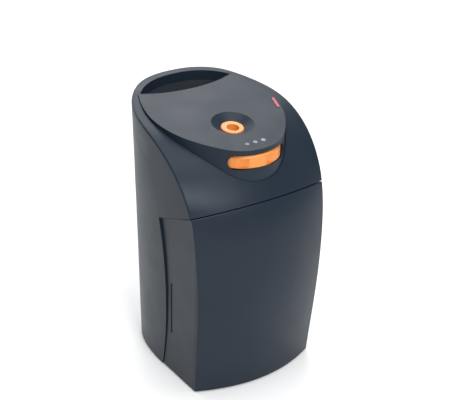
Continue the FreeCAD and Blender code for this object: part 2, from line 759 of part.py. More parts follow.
def spur_gear(teeth, module, face, phase):
    wire = gear_wire(teeth, module, size("backlash"), 0.85, 1.15, phase)
    return Part.Face(wire).extrude(Vector(0, 0, face))


def idler_place():
    """Centre of the idler, (x, ahead): in mesh with the carrier gear and with the motor's pinion."""
    to_carrier = size("coarse_module * (idler_small_teeth + carrier_teeth) / 2")
    to_motor = size("fine_module * (idler_large_teeth + motor_pinion_teeth) / 2")
    span = size("motor_back")
    along = (span ** 2 + to_carrier ** 2 - to_motor ** 2) / (2 * span)
    return (math.sqrt(to_carrier ** 2 - along ** 2), -along)


def heading(start, end):
    """Direction from one (x, ahead) place to another, as an angle about +Z."""
    return math.atan2(-(end[1] - start[1]), end[0] - start[0])


def make_spur_gears():
    """Motor pinion, compound idler and carrier gear, in mesh."""
    carrier = (0.0, 0.0)
    motor = (0.0, -size("motor_back"))
    idler = idler_place()
    small_teeth = int(size("idler_small_teeth"))
    large_teeth = int(size("idler_large_teeth"))
    coarse = size("coarse_module")
    fine = size("fine_module")

    carrier_gear = spur_gear(int(size("carrier_teeth")), coarse, 5.0, heading(carrier, idler))
    carrier_gear = carrier_gear.cut(Part.makeCylinder(size("journal_radius"), 10, Vector(0, 0, -1)))
    carrier_gear.translate(at(0, 0, 101.2))
    shape_node("carrier_gear", carrier_gear)

    small = spur_gear(small_teeth, coarse, 5.6, heading(idler, carrier) + math.pi / small_teeth)
    small.translate(Vector(0, 0, 2.4))
    large = spur_gear(large_teeth, fine, 2.4, heading(idler, motor))
    compound = large.fuse(small).cut(Part.makeCylinder(1.55, 20, Vector(0, 0, -1)))
    compound.translate(at(idler[0], idler[1], 98.4))
    shape_node("idler_gear", main_solid(compound))
    axle = Part.makeCylinder(1.5, size("plate_high - frame_low"), at(idler[0], idler[1], size("frame_low")))
    shape_node("idler_axle", axle)

    teeth = int(size("motor_pinion_teeth"))
    pinion = spur_gear(teeth, fine, 3.0, heading(motor, idler) + math.pi / teeth)
    pinion = pinion.cut(Part.makeCylinder(size("motor_shaft_radius"), 10, Vector(0, 0, -1)))
    pinion.translate(at(motor[0], motor[1], 98.4))
    shape_node("motor_pinion", pinion)


# ---------------------------------------------------------------- cutter head
def cone_geometry():
    """Pitch cone angles and apex height of the planet pinion rolling inside the ring gear."""
    tilt = math.radians(size("cutter_tilt"))
    share = size("planet_teeth / ring_teeth")
    planet = math.atan(share * math.sin(tilt) / (1 - share * math.cos(tilt)))
    ring = planet + tilt
    slant = size("ring_pitch_radius") / math.sin(ring)
    apex = size("ring_mid") - slant * math.cos(ring)
    return planet, ring, slant, apex


def cone_gear(teeth, pitch_angle, slant, face, thinning, addendum, dedendum, phase):
    """A straight conical gear about Z with its apex at the origin, centred on the slant length."""
    reach = slant * math.cos(pitch_angle)
    pitch = slant * math.sin(pitch_angle)
    wires = []
    for height in (reach - face / 2, reach + face / 2):
        share = height / reach
        wire = gear_wire(teeth, 2 * pitch / teeth, thinning, addendum, dedendum, phase)
        wire = wire.scale(share)
        wire.translate(Vector(0, 0, height))
        wires.append(wire)
    return Part.makeLoft(wires, True, True)


def cutter_frame():
    """Placement of the cutter: Z along its tilted axis, from the apex, leaning to the front."""
    apex = cone_geometry()[3]
    return Placement(at(0, 0, apex), Rotation(Vector(1, 0, 0), size("cutter_tilt")))


def make_cutter_head():
    planet_angle, ring_angle, slant, apex = cone_geometry()
    frame = cutter_frame()
    tip_reach = size("cutter_radius") / math.tan(math.radians(size("cutter_tilt")))
    blade_low = tip_reach + 0.6
    blade_high = 45.0
    planet_reach = slant * math.cos(planet_angle)
    planet_face = 5.0

    # The fixed ring gear: conical internal teeth in a flange with a lug for the start switch.
    space = cone_gear(int(size("ring_teeth")), ring_angle, slant, 8.0, -0.12, 1.15, 0.85, -math.pi / 2)
    space.translate(at(0, 0, apex))
    ring = Part.makeCylinder(18.3, 6.0, at(0, 0, size("ring_mid") - 3))
    flange = Part.makeCylinder(25.0, 2.4, at(0, 0, size("ring_mid") + 1.6))
    lug = Part.makeBox(14, 30, 2.4, at(-36, 6, size("ring_mid") + 1.6))
    ring = ring.fuse(flange).fuse(lug).cut(space)
    ring = ring.cut(Part.makeCylinder(14.6, 20, at(0, 0, 140)))
    for x, ahead in ring_posts():
        ring = ring.cut(Part.makeCylinder(1.25, 10, at(x, ahead, 148)))
    shape_node("ring_gear", main_solid(ring))

    # The planet pinion, pressed on the cutter's neck; one tooth points into a space of the ring.
    pinion = cone_gear(int(size("planet_teeth")), planet_angle, slant, planet_face, 0.2, 0.8, 1.1, -math.pi / 2)
    pinion = pinion.cut(Part.makeCylinder(2.6, 80))
    pinion.Placement = frame
    shape_node("cutter_pinion", pinion)

    cutter = fluted_blade(blade_low, blade_high)
    neck = Part.makeCylinder(2.6, planet_reach + planet_face / 2 - blade_high, Vector(0, 0, blade_high))
    cutter = cutter.fuse(neck).cut(Part.makeCylinder(size("cutter_bore"), 80))
    cutter.Placement = frame
    shape_node("helical_cutter", main_solid(cutter))

    axle = Part.makeCylinder(size("cutter_axle_radius"), planet_reach + 3.4 - 20, Vector(0, 0, 20))
    axle.Placement = frame
    shape_node("cutter_axle", axle)

    make_cutter_carrier(frame, blade_low)


def fluted_blade(low, high):
    """Twisted blade: star sections that turn as they rise."""
    flutes = int(size("cutter_flutes"))
    radius = size("cutter_radius")
    depth = 0.8
    levels = 7
    turn = math.radians(70)
    wires = []
    for level in range(levels):
        share = level / (levels - 1)
        start = turn * share
        corners = []
        for flute in range(flutes):
            angle = start + 2 * math.pi * flute / flutes
            step = math.pi / flutes
            corners.append((radius, angle))
            corners.append((radius - depth, angle + step * 1.5))
        points = [Vector(reach * math.cos(angle), reach * math.sin(angle), low + (high - low) * share)
                  for reach, angle in corners]
        wires.append(Part.makePolygon(points + points[:1]))
    return Part.makeLoft(wires, True, False)


def make_cutter_carrier(frame, blade_low):
    """Turned carrier with a lower journal, a window for the cutter and a ring that holds its neck."""
    body = Part.makeCylinder(size("carrier_radius"), 39.8, at(0, 0, 106.4))
    journal = Part.makeCylinder(size("journal_radius"), 11, at(0, 0, 95.6))
    carrier = body.fuse(journal)
    carrier = carrier.cut(Part.makeCylinder(3.0, 60, at(0, 0, 90)))
    carrier = carrier.cut(Part.makeCylinder(4.8, 40, at(0, 0, 122)))
    room = Part.makeCylinder(size("cutter_radius") + 0.7, 45.7 - blade_low + 0.9, Vector(0, 0, blade_low - 0.9))
    window = Part.makeBox(2 * size("cutter_radius") - 1, 20, 45.7 - blade_low + 0.9,
                          Vector(-size("cutter_radius") + 0.5, -20, blade_low - 0.9))
    neck_hole = Part.makeCylinder(2.9, 40, Vector(0, 0, blade_low + 10))
    axle_hole = Part.makeCylinder(size("cutter_axle_radius"), 80)
    for tool in (room, window, neck_hole, axle_hole):
        tool.Placement = frame
        carrier = carrier.cut(tool)
    for side in (-1, 1):
        relief = Part.makeBox(9, 12, 17, at(side * 10.5 - 4.5, -1, 124))
        carrier = carrier.cut(relief)
    shape_node("cutter_carrier", main_solid(carrier))


def ring_posts():
    """Places of the posts that carry the ring gear, as (x, ahead)."""
    return [(RING_POST_RADIUS * math.cos(math.radians(angle)), RING_POST_RADIUS * math.sin(math.radians(angle)))
            for angle in RING_POST_ANGLES]


# ---------------------------------------------------------------- frame, motor and small parts
def make_frame():
    """Gear frame, motor plate, posts, bearing and their screws."""
    plate = block("gear_frame_plate", ("-26", "-46", "frame_low"), ("26", "27", "frame_high"))
    columns = [upright(f"gear_frame_column_{n}", "3.2", "shelf_high", "plate_low", str(x), str(ahead))
               for n, (x, ahead) in enumerate(FRAME_CORNERS)]
    bores = [upright(f"gear_frame_bore_{n}", "1.2", "plate_low - 9", "plate_low + 1", str(x), str(ahead))
             for n, (x, ahead) in enumerate(FRAME_CORNERS)]
    idler_x, idler_ahead = (f"{value:.4f}" for value in idler_place())
    holes = [upright("gear_frame_bearing_seat", "10", "frame_low - 5", "frame_high + 5"),
             upright("gear_frame_axle_seat", "1.5", "frame_low - 5", "frame_high + 5", idler_x, idler_ahead),
             upright("gear_frame_rod_hole", "2.2", "frame_low - 5", "frame_high + 5", "stop_x", "stop_ahead"),
             block("gear_frame_chute", ("-12", "12.5", "frame_low - 5"), ("12", "25", "frame_high + 5"))]
    name_node(cut("gear_frame", fused("gear_frame_blank", [plate] + columns), holes + bores), "gear_frame")

    turned_body("carrier_bearing", [("journal_radius + 0.05", "0"), ("10", "0"), ("10", "3"),
                                    ("journal_radius + 0.05", "3")], z="frame_low")

    blank = block("motor_plate_blank", ("-26", "-46", "plate_low"), ("26", "27", "plate_high"))
    plate_holes = [upright("motor_plate_carrier_hole", "14", "plate_low - 5", "plate_high + 5"),
                   upright("motor_plate_shaft_hole", "3.2", "plate_low - 5", "plate_high + 5", ahead="-motor_back"),
                   upright("motor_plate_axle_seat", "1.5", "plate_low - 5", "plate_high + 5",
                           idler_x, idler_ahead),
                   upright("motor_plate_rod_hole", "1.55", "plate_low - 5", "plate_high + 5",
                           "stop_x", "stop_ahead")]
    plate_holes += [upright(f"motor_plate_screw_hole_{n}", "1.3", "plate_low - 5", "plate_high + 5", str(x),
                            str(ahead)) for n, (x, ahead) in enumerate(FRAME_CORNERS)]
    plate_holes += [upright(f"motor_screw_hole_{n}", "1.3", "plate_low - 5", "plate_high + 5", x, "-motor_back")
                    for n, x in enumerate(("-8", "8"))]
    name_node(cut("motor_plate", blank, plate_holes), "motor_plate")

    posts = []
    for n, (x, ahead) in enumerate(ring_posts()):
        post = upright(f"ring_post_{n}", "2.4", "plate_high", "ring_mid + 1.6", f"{x:.4f}", f"{ahead:.4f}")
        bore = upright(f"ring_post_bore_{n}", "1.2", "ring_mid - 8", "ring_mid + 3", f"{x:.4f}", f"{ahead:.4f}")
        posts.append(cut(f"drilled_post_{n}", post, [bore]))
    name_node(grouped("frame_posts", posts), "frame_posts")


def screw(name, x, ahead, head_low, shank_low, head_high, radius="1.2", head_radius="2.5"):
    """A pan-head screw with its head on top."""
    head = upright(name + "_head", head_radius, head_low, head_high, x, ahead)
    shank = upright(name + "_shank", radius, shank_low, head_low, x, ahead)
    socket = primitive("Prism", name + "_socket", (x, f"port_y - ({ahead})", f"{head_high} - 0.8"),
                       Circumradius="1.1", Height="2")
    return cut(name, fused(name + "_blank", [head, shank]), [socket])


def make_screws():
    frame = [screw(f"plate_screw_{n}", str(x), str(ahead), "plate_high", "plate_low - 7", "plate_high + 1.7")
             for n, (x, ahead) in enumerate(FRAME_CORNERS)]
    ring = [screw(f"ring_screw_{n}", f"{x:.4f}", f"{ahead:.4f}", "ring_mid + 4", "ring_mid - 6", "ring_mid + 5.4")
            for n, (x, ahead) in enumerate(ring_posts())]
    name_node(grouped("frame_screws", frame + ring), "frame_screws")

    base = []
    for n, (x, ahead) in enumerate(BASE_SCREWS):
        head = upright(f"base_screw_head_{n}", "2.4", "base_low - 0.2", "base_low + 1.2", str(x), str(ahead))
        shank = upright(f"base_screw_shank_{n}", "1.3", "base_low + 1.2", "base_low + 11", str(x), str(ahead))
        base.append(fused(f"base_screw_{n}", [head, shank]))
    name_node(grouped("base_screws", base), "base_screws")


def make_motor():
    """Motor can with its boss and end cap, the turning shaft and the two screws under the plate."""
    turned_body("motor", [("1.3", "0"), ("3.0", "0"), ("3.0", "2"), ("motor_radius - 0.8", "2"),
                          ("motor_radius", "2.8"), ("motor_radius", "motor_top - plate_low - 5"),
                          ("motor_radius - 1", "motor_top - plate_low - 4.6"),
                          ("motor_radius - 1", "motor_top - plate_low"),
                          ("1.3", "motor_top - plate_low")],
                ahead="-motor_back", z="plate_low")
    name_node(upright("motor_shaft", "motor_shaft_radius", "98.2", "motor_top + 1.4", ahead="-motor_back"),
              "motor_shaft")
    heads = []
    for n, x in enumerate(("-8", "8")):
        head = upright(f"motor_screw_head_{n}", "2.2", "plate_low - 1.4", "plate_low", x, "-motor_back")
        shank = upright(f"motor_screw_shank_{n}", "1.25", "plate_low", "plate_high", x, "-motor_back")
        heads.append(fused(f"motor_screw_{n}", [head, shank]))
    name_node(grouped("motor_screws", heads), "motor_screws")


def make_depth_stop():
    """Push rod under the thumbwheel's cam face, an arm below the gears and the pencil's stop pin."""
    rod = upright("stop_rod", "1.5", "stop_low", "dial_low - 1", "stop_x", "stop_ahead")
    pin = upright("stop_pin", "1.2", "stop_low", "123.3")
    reach = "sqrt(stop_x ^ 2 + stop_ahead ^ 2)"
    corner = (f"-2.2 * stop_ahead / {reach}", f"port_y - 2.2 * stop_x / {reach}", "stop_low")
    angle = math.degrees(math.atan2(-size("stop_ahead"), size("stop_x")))
    arm = primitive("Box", "stop_arm", corner, Rotation(Vector(0, 0, 1), angle), Length=reach,
                    Width="4.4", Height="1.3")
    name_node(fused("depth_stop", [rod, pin, arm]), "depth_stop")


def make_chassis():
    """Moulded chassis: the wall behind the drawer bay, the shelf over it and four cover posts."""
    wall = block("bay_wall", ("-43.5", "bay_back", "base_high"), ("43.5", "bay_front", "shelf_low"))
    shelf = block("bay_shelf", ("-43", "-46", "shelf_low"), ("43", "27", "shelf_high"))
    posts = [upright(f"cover_post_{n}", "3.4", "shelf_high", "138", str(x), str(ahead))
             for n, (x, ahead) in enumerate(COVER_POSTS)]
    chute = block("shelf_chute", ("-14", "-14", "shelf_low - 5"), ("14", "25", "shelf_high + 0.5"))
    plunger = primitive("Cylinder", "plunger_hole", ("30", "port_y + 20", "70"),
                        Rotation(Vector(1, 0, 0), 90), Radius="1.8", Height="20")
    magnet = primitive("Cylinder", "magnet_hole", ("0", "port_y + 20", "70"),
                       Rotation(Vector(1, 0, 0), 90), Radius="4", Height="20")
    name_node(cut("chassis", fused("chassis_blank", [wall, shelf] + posts), [chute, plunger, magnet]), "chassis")
    name_node(primitive("Cylinder", "catch_magnet", ("0", "port_y - bay_back", "70"),
                        Rotation(Vector(1, 0, 0), 90), Radius="4", Height="2.4"), "catch_magnet")


def make_base():
    """Base plate inside the housings' foot, with vents, and its rubber feet."""
    outline = outer_form(0.35).cut(drawer_region(-0.3))
    rear = outline.common(Part.makeBox(200, 200, size("base_high - base_low"),
                                       Vector(-100, -100, size("base_low"))))
    tongue = Part.makeBox(84, 60, size("base_high - base_low"), at(-42, 20, size("base_low")))
    rear = rear.cut(Part.makeBox(200, 200, 20, Vector(-100, -100, -5)).cut(outer_form(2.7)))
    plate = rear.fuse(tongue)
    for x, ahead in BASE_SCREWS:
        plate = plate.cut(Part.makeCylinder(2.5, 1.2, at(x, ahead, size("base_low"))))
        plate = plate.cut(Part.makeCylinder(1.35, 10, at(x, ahead, 0)))
    for x, ahead in FEET:
        plate = plate.cut(Part.makeCylinder(2.4, 10, at(x, ahead, 0)))
    for step in range(6):
        x = -15 + 6 * step
        plate = plate.cut(Part.makeBox(2.4, 22, 10, at(x - 1.2, -26, 0)))
    shape_node("base_plate", main_solid(plate))

    feet = []
    for n, (x, ahead) in enumerate(FEET):
        pad = upright(f"foot_pad_{n}", "5.5", "0", "base_low", str(x), str(ahead))
        stem = upright(f"foot_stem_{n}", "2.4", "base_low", "base_high", str(x), str(ahead))
        feet.append(fused(f"foot_{n}", [pad, stem]))
    name_node(grouped("rubber_feet", feet), "rubber_feet")


def make_bin():
    """Open-topped shavings bin that follows the inside of the drawer's front."""
    room = Part.makeBox(200, 200, 84, Vector(-100, -100, 5.0))
    behind = Part.makeBox(200, 100, 300, at(-100, -11.0, -5))
    outside = outer_form(5.6).common(Part.makeBox(86, 200, 300, at(-43, 60, -5)))
    inside = outer_form(7.2).common(Part.makeBox(82.8, 200, 300, at(-41.4, 60, 6.6)))
    inside = inside.cut(Part.makeBox(200, 100, 300, at(-100, -9.4, -5)))
    tub = outside.common(room).cut(behind).cut(inside)
    screws = []
    for x in (-24, 24):
        axis_start = at(x, 20, 60)
        tub = tub.cut(Part.makeCylinder(1.3, 30, axis_start, Vector(0, -1, 0)))
        shank = Part.makeCylinder(1.15, 4.6, at(x, 33.8, 60), Vector(0, -1, 0))
        head = Part.makeCylinder(2.6, 1.6, at(x, 32.3, 60), Vector(0, -1, 0))
        screws.append(head.fuse(shank).removeSplitter())
    shape_node("shavings_bin", main_solid(tub))
    shape_node("bin_screws", Part.makeCompound(screws))
    name_node(block("keeper_plate", ("-6", "-11.6", "64"), ("6", "-11", "76")), "keeper_plate")


def make_electrics():
    """Power board with its parts, inlet, the two switches, the lamp and the lever that starts the motor."""
    board = block("power_board_blank", ("-30", "-72", "12"), ("30", "-22", "13.6"))
    holes = [upright(f"board_hole_{n}", "1.6", "10", "16", x, ahead)
             for n, (x, ahead) in enumerate([("-26", "-26"), ("26", "-26"), ("-19", "-66"), ("19", "-66")])]
    corner = [block(f"board_corner_{n}", (low, "-80", "10"), (high, "-60", "16"))
              for n, (low, high) in enumerate([("-31", "-22"), ("22", "31")])]
    name_node(cut("power_board", board, holes + corner), "power_board")
    parts = [upright("capacitor_tall", "5", "13.6", "32", "-18", "-34"),
             upright("capacitor_short", "4", "13.6", "26", "-6", "-32"),
             block("relay", ("8", "-44", "13.6"), ("24", "-28", "29")),
             block("driver_chip", ("-8", "-56", "13.6"), ("2", "-46", "15.4")),
             block("heat_sink", ("-22", "-56", "13.6"), ("-14", "-46", "30"))]
    name_node(grouped("board_parts", parts), "board_parts")

    inlet = Part.makeCylinder(5.5, 14, at(0, -67.4, 20), Vector(0, 1, 0))
    inlet = inlet.fuse(Part.makeCylinder(6.8, 1.2, at(0, -77.2, 20), Vector(0, 1, 0)))
    inlet = inlet.cut(Part.makeCylinder(2.9, 12, at(0, -72, 20), Vector(0, 1, 0)))
    inlet = inlet.fuse(Part.makeCylinder(1.0, 10, at(0, -70, 20), Vector(0, 1, 0)))
    shape_node("power_inlet", main_solid(inlet))

    name_node(block("start_switch", ("-31.5", "-22", "ring_mid + 4"), ("-22.5", "-15.4", "ring_mid + 10")),
              "start_switch")
    name_node(upright("lever_pin", "1.2", "ring_mid + 4", "ring_mid + 8.6", "-14.5", "-10"), "lever_pin")
    make_start_lever()

    switch = block("interlock_blank", ("24", "bay_back - 6.2", "60"), ("36", "bay_back - 0.1", "80"))
    bore = primitive("Cylinder", "interlock_bore", ("30", "port_y - bay_back + 5", "70"),
                     Rotation(Vector(1, 0, 0), 90), Radius="1.8", Height="10")
    name_node(cut("interlock_body", switch, [bore]), "interlock_switch")
    name_node(primitive("Cylinder", "interlock_plunger", ("30", "port_y - bay_back + 4", "70"),
                        Rotation(Vector(1, 0, 0), 90), Radius="1.5", Height="7.2"), "interlock_plunger")
    led = Part.makeCylinder(1.5, 5.0, Vector(0, 0, -8.6))
    led.Placement = frame_of_deck(-10.5, 41.2)
    shape_node("indicator_led", led)


def make_start_lever():
    """Flat two-armed lever: a pencil pushes its long arm aside and its tail presses the switch."""
    low = size("ring_mid + 4.6")
    pivot = (-14.5, -10.0)
    thick = 2.2
    lever = Part.makeCylinder(3.0, thick, at(pivot[0], pivot[1], low))
    for end, radius in (((-0.7, 5.2), 1.3), ((-26.0, -12.8), 1.0)):
        direction = at(end[0], end[1], 0) - at(pivot[0], pivot[1], 0)
        bar = Part.makeBox(direction.Length, 2.0, thick, Vector(0, -1.0, 0))
        bar.Placement = Placement(at(pivot[0], pivot[1], low),
                                  Rotation(Vector(0, 0, 1), math.degrees(math.atan2(direction.y, direction.x))))
        lever = lever.fuse(bar).fuse(Part.makeCylinder(radius, thick, at(end[0], end[1], low)))
    lever = lever.cut(Part.makeCylinder(1.25, 10, at(pivot[0], pivot[1], low - 2)))
    shape_node("start_lever", main_solid(lever))


def check_and_export():
    """Stops on any failed object, then writes each sub-part's shape to its own file."""
    doc.recompute()
    failed = [item.Name for item in doc.Objects if {"Invalid", "Error"} & set(item.State)]
    if failed:
        raise RuntimeError("failed objects: " + ", ".join(failed))
    for item in nodes:
        if item.Shape.isNull() or not item.Shape.isValid() or not item.Shape.Solids:
            raise RuntimeError("bad shape: " + item.Label)
    os.makedirs("parts", exist_ok=True)
    for item in nodes:
        item.Shape.exportStep(f"parts/{item.Label}.step")
        print(f"{item.Label:20s} solids {len(item.Shape.Solids)}  volume {item.Shape.Volume:10.1f}")


make_housings()
make_deck_trim()
make_pencil_guide()
make_selector_dial()
make_spur_gears()
make_cutter_head()
make_frame()
make_screws()
make_motor()
make_depth_stop()
make_chassis()
make_base()
make_bin()
make_electrics()
check_and_export()
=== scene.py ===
"""Looks for the desk pencil sharpener: materials, floor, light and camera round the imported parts."""

import json
import math

import bpy
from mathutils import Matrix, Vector


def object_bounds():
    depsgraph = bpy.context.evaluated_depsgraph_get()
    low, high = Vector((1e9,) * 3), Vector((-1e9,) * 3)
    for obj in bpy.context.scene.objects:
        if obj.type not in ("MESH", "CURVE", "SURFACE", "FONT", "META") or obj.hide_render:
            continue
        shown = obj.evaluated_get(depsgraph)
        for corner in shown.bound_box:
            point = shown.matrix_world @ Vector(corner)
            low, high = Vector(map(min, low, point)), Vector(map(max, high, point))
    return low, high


MM = 0.001

# Shares of light (0 to 1, linear) reflected by the housing's dark blue-grey plastic.
HOUSING = (0.0125, 0.021, 0.033)
# The etched grain of the housing reflects less at a glance than polished plastic does.
GRAINED_SPECULAR = 0.2

# The floor sheet, in metres: it runs level, then rises in a quarter round to an upright back.
FLOOR_HALF_WIDTH = 4.0
FLOOR_FRONT = -3.0
FLOOR_LEVEL_END = 0.9
FLOOR_SWEEP_RADIUS = 0.9
FLOOR_TOP = 3.2
FLOOR_SWEEP_STEPS = 12

# Soft boxes: name, azimuth and elevation in degrees, distance, width and height in metres, watts.
SOFTBOXES = [
    ("top_softbox", 0, 80, 1.3, 1.2, 1.0, 13.0),
    ("back_softbox", -150, 46, 1.5, 0.9, 0.6, 7.6),
    ("left_softbox", 172, 14, 1.4, 0.4, 1.2, 4.0),
    ("right_softbox", -150, 12, 1.5, 0.4, 1.2, 1.6),
    ("front_softbox", 10, 34, 1.5, 0.6, 0.5, 12.5),
]
SKY_COLOUR = (0.95, 0.97, 1.0, 1.0)
SKY_STRENGTH = 0.26

# The camera looks at this point in the part's frame, in millimetres, from this far, in metres.
CAMERA_AIM = (22.95, 26.2, 99.9)
CAMERA_AZIMUTH = -34.0
CAMERA_ELEVATION = 26.0
CAMERA_DISTANCE = 0.7821
CAMERA_LENS = 86.2
CAMERA_SENSOR = 36.0
CAMERA_CLIP_START = 0.01

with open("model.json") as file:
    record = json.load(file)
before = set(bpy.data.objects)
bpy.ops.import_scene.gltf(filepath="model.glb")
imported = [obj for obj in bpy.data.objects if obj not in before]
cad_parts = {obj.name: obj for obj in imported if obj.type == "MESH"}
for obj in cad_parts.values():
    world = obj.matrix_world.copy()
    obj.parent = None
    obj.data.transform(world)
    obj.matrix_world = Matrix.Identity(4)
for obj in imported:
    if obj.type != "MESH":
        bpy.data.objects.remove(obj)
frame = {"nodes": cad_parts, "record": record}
nodes = frame["nodes"]
cad_low, cad_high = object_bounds()


# ---------------------------------------------------------------- node helpers
class Paint:
    """A material whose colour, roughness and relief are built up from procedural layers."""

    def __init__(self, name, colour, roughness, **sockets):
        self.material = bpy.data.materials.new(name)
        self.material.use_nodes = True
        self.tree = self.material.node_tree
        self.shader = self.tree.nodes["Principled BSDF"]
        self.place = self.add("ShaderNodeTexCoord").outputs["Object"]
        self.colour = None
        self.height = None
        self.set("Base Color", (*colour, 1.0))
        self.set("Roughness", roughness)
        for socket, value in sockets.items():
            self.set(socket.replace("_", " "), value)

    def set(self, socket, value):
        self.shader.inputs[socket].default_value = value

    def add(self, kind, **settings):
        node = self.tree.nodes.new(kind)
        for key, value in settings.items():
            setattr(node, key, value)
        return node

    def link(self, source, target):
        self.tree.links.new(source, target)

    def noise(self, size_mm, detail=2.0, stretch=(1.0, 1.0, 1.0), turn=(0.0, 0.0, 0.0), rough=0.5):
        """Noise with features of about size_mm, drawn out along the axes that stretch makes large."""
        mapping = self.add("ShaderNodeMapping")
        mapping.inputs["Scale"].default_value = [1.0 / (size_mm * MM * part) for part in stretch]
        mapping.inputs["Rotation"].default_value = turn
        texture = self.add("ShaderNodeTexNoise")
        texture.inputs["Scale"].default_value = 1.0
        texture.inputs["Detail"].default_value = detail
        texture.inputs["Roughness"].default_value = rough
        self.link(self.place, mapping.inputs["Vector"])
        self.link(mapping.outputs["Vector"], texture.inputs["Vector"])
        return texture.outputs["Fac"]

    def remap(self, source, low, high, to_low=0.0, to_high=1.0):
        node = self.add("ShaderNodeMapRange")
        self.link(source, node.inputs["Value"])
        values = {"From Min": low, "From Max": high, "To Min": to_low, "To Max": to_high}
        for socket, value in values.items():
            node.inputs[socket].default_value = value
        return node.outputs["Result"]

    def math(self, operation, first, second):
        node = self.add("ShaderNodeMath", operation=operation)
        for socket, value in zip(node.inputs, (first, second)):
            if isinstance(value, (int, float)):
                socket.default_value = value
            else:
                self.link(value, socket)
        return node.outputs["Value"]

    def tint(self, mask, colour):
        """Mixes a colour over what is there, where the mask is up."""
        mix = self.add("ShaderNodeMix", data_type="RGBA")
        under, over = mix.inputs[6], mix.inputs[7]
        under.default_value = self.shader.inputs["Base Color"].default_value
        if self.colour is not None:
            self.link(self.colour, under)
        over.default_value = (*colour, 1.0)
        self.link(mask, mix.inputs["Factor"])
        self.colour = mix.outputs[2]
        self.link(self.colour, self.shader.inputs["Base Color"])

    def relief(self, source, depth_mm, strength=1.0):
        """Adds a bump layer whose full swing is depth_mm deep."""
        bump = self.add("ShaderNodeBump")
        bump.inputs["Distance"].default_value = depth_mm * MM
        bump.inputs["Strength"].default_value = strength
        self.link(source, bump.inputs["Height"])
        if self.height is not None:
            self.link(self.height, bump.inputs["Normal"])
        self.height = bump.outputs["Normal"]
        self.link(self.height, self.shader.inputs["Normal"])

    def vary_roughness(self, source, low, high):
        self.link(self.remap(source, 0.3, 0.7, low, high), self.shader.inputs["Roughness"])

    def edges(self, colour, start=0.53, end=0.62):
        """Lightens each convex edge a little: a painted highlight along it."""
        pointiness = self.add("ShaderNodeNewGeometry").outputs["Pointiness"]
        self.tint(self.remap(pointiness, start, end, 0.0, 0.35), colour)


def scaled(colour, factor):
    return tuple(min(1.0, part * factor) for part in colour)


# ---------------------------------------------------------------- materials
def moulded(name, colour, roughness, grain_mm=0.45, grain_depth=0.012, cloud=0.10, scuffs=True,
            **sockets):
    """Injection-moulded plastic: etched grain, faint clouding, sink marks and fine scuffs."""
    paint = Paint(name, colour, roughness, **sockets)
    clouding = paint.noise(38.0, detail=3.0)
    paint.tint(paint.remap(clouding, 0.35, 0.68), scaled(colour, 1.0 + cloud))
    speckle = paint.noise(grain_mm * 1.6, detail=1.0)
    paint.tint(paint.remap(speckle, 0.56, 0.74, 0.0, 0.5), scaled(colour, 1.18))
    paint.vary_roughness(paint.noise(22.0, detail=4.0), roughness - 0.035, roughness + 0.035)
    if scuffs:
        streaks = paint.noise(1.6, detail=2.0, stretch=(9.0, 1.0, 1.0), turn=(0.3, 0.5, 0.7))
        patches = paint.noise(26.0, detail=2.0)
        mask = paint.math("MULTIPLY", paint.remap(streaks, 0.66, 0.74), paint.remap(patches, 0.52, 0.66))
        paint.tint(paint.math("MULTIPLY", mask, 0.22), scaled(colour, 1.9))
    paint.relief(paint.noise(60.0, detail=1.0), 0.06, 0.35)
    paint.relief(paint.noise(grain_mm, detail=2.0), grain_depth, 0.8)
    return paint.material


def turned_metal(name, colour, roughness, **sockets):
    """Turned or drawn metal: rings of tool marks across the height, faint smears."""
    paint = Paint(name, colour, roughness, Metallic=1.0, **sockets)
    rings = paint.noise(0.16, detail=3.0, stretch=(60.0, 60.0, 1.0))
    paint.tint(paint.remap(rings, 0.3, 0.7), scaled(colour, 0.82))
    smears = paint.noise(6.0, detail=4.0)
    paint.vary_roughness(smears, roughness - 0.07, roughness + 0.09)
    paint.relief(rings, 0.006, 0.7)
    return paint.material


def sheet_metal(name, colour, roughness):
    """Rolled and plated sheet: brush lines along its length and a mottled plating."""
    paint = Paint(name, colour, roughness, Metallic=1.0)
    lines = paint.noise(0.2, detail=3.0, stretch=(80.0, 1.0, 1.0))
    spangle = paint.noise(5.0, detail=1.0)
    paint.tint(paint.remap(spangle, 0.4, 0.6), scaled(colour, 0.88))
    paint.vary_roughness(lines, roughness - 0.06, roughness + 0.08)
    paint.relief(lines, 0.005, 0.6)
    return paint.material


def cast_metal(name, colour, roughness):
    """Die-cast zinc: a dull skin with fine pitting and flow marks."""
    paint = Paint(name, colour, roughness, Metallic=0.9)
    flow = paint.noise(7.0, detail=4.0, stretch=(1.0, 1.0, 2.4))
    paint.tint(paint.remap(flow, 0.35, 0.65), scaled(colour, 0.78))
    paint.vary_roughness(flow, roughness - 0.08, roughness + 0.08)
    paint.relief(paint.noise(0.5, detail=2.0), 0.03, 0.5)
    return paint.material


def gloss_orange(name, colour):
    """Semi-gloss orange plastic with a little depth, and a painted highlight that lightens each convex
    edge of its lobes.
    """
    paint = Paint(name, colour, 0.36, Subsurface_Weight=0.08, Coat_Weight=0.12, Coat_Roughness=0.25)
    paint.set("Subsurface Scale", 1.5 * MM)
    clouding = paint.noise(12.0, detail=2.0)
    paint.tint(paint.remap(clouding, 0.35, 0.65, 0.0, 0.6), scaled(colour, 1.10))
    # Painted highlight: the convex edge of each lobe is lightened towards a paler orange.
    paint.edges((0.86, 0.42, 0.14))
    paint.vary_roughness(paint.noise(4.0, detail=3.0), 0.31, 0.42)
    paint.relief(paint.noise(0.35, detail=2.0), 0.006, 0.6)
    return paint.material


def rubber(name, colour):
    """Matt rubber with a dusty bloom and a coarse grain."""
    paint = Paint(name, colour, 0.85)
    paint.tint(paint.remap(paint.noise(3.0, detail=4.0), 0.5, 0.7, 0.0, 0.6), scaled(colour, 1.7))
    paint.relief(paint.noise(0.4, detail=3.0), 0.03, 0.8)
    return paint.material


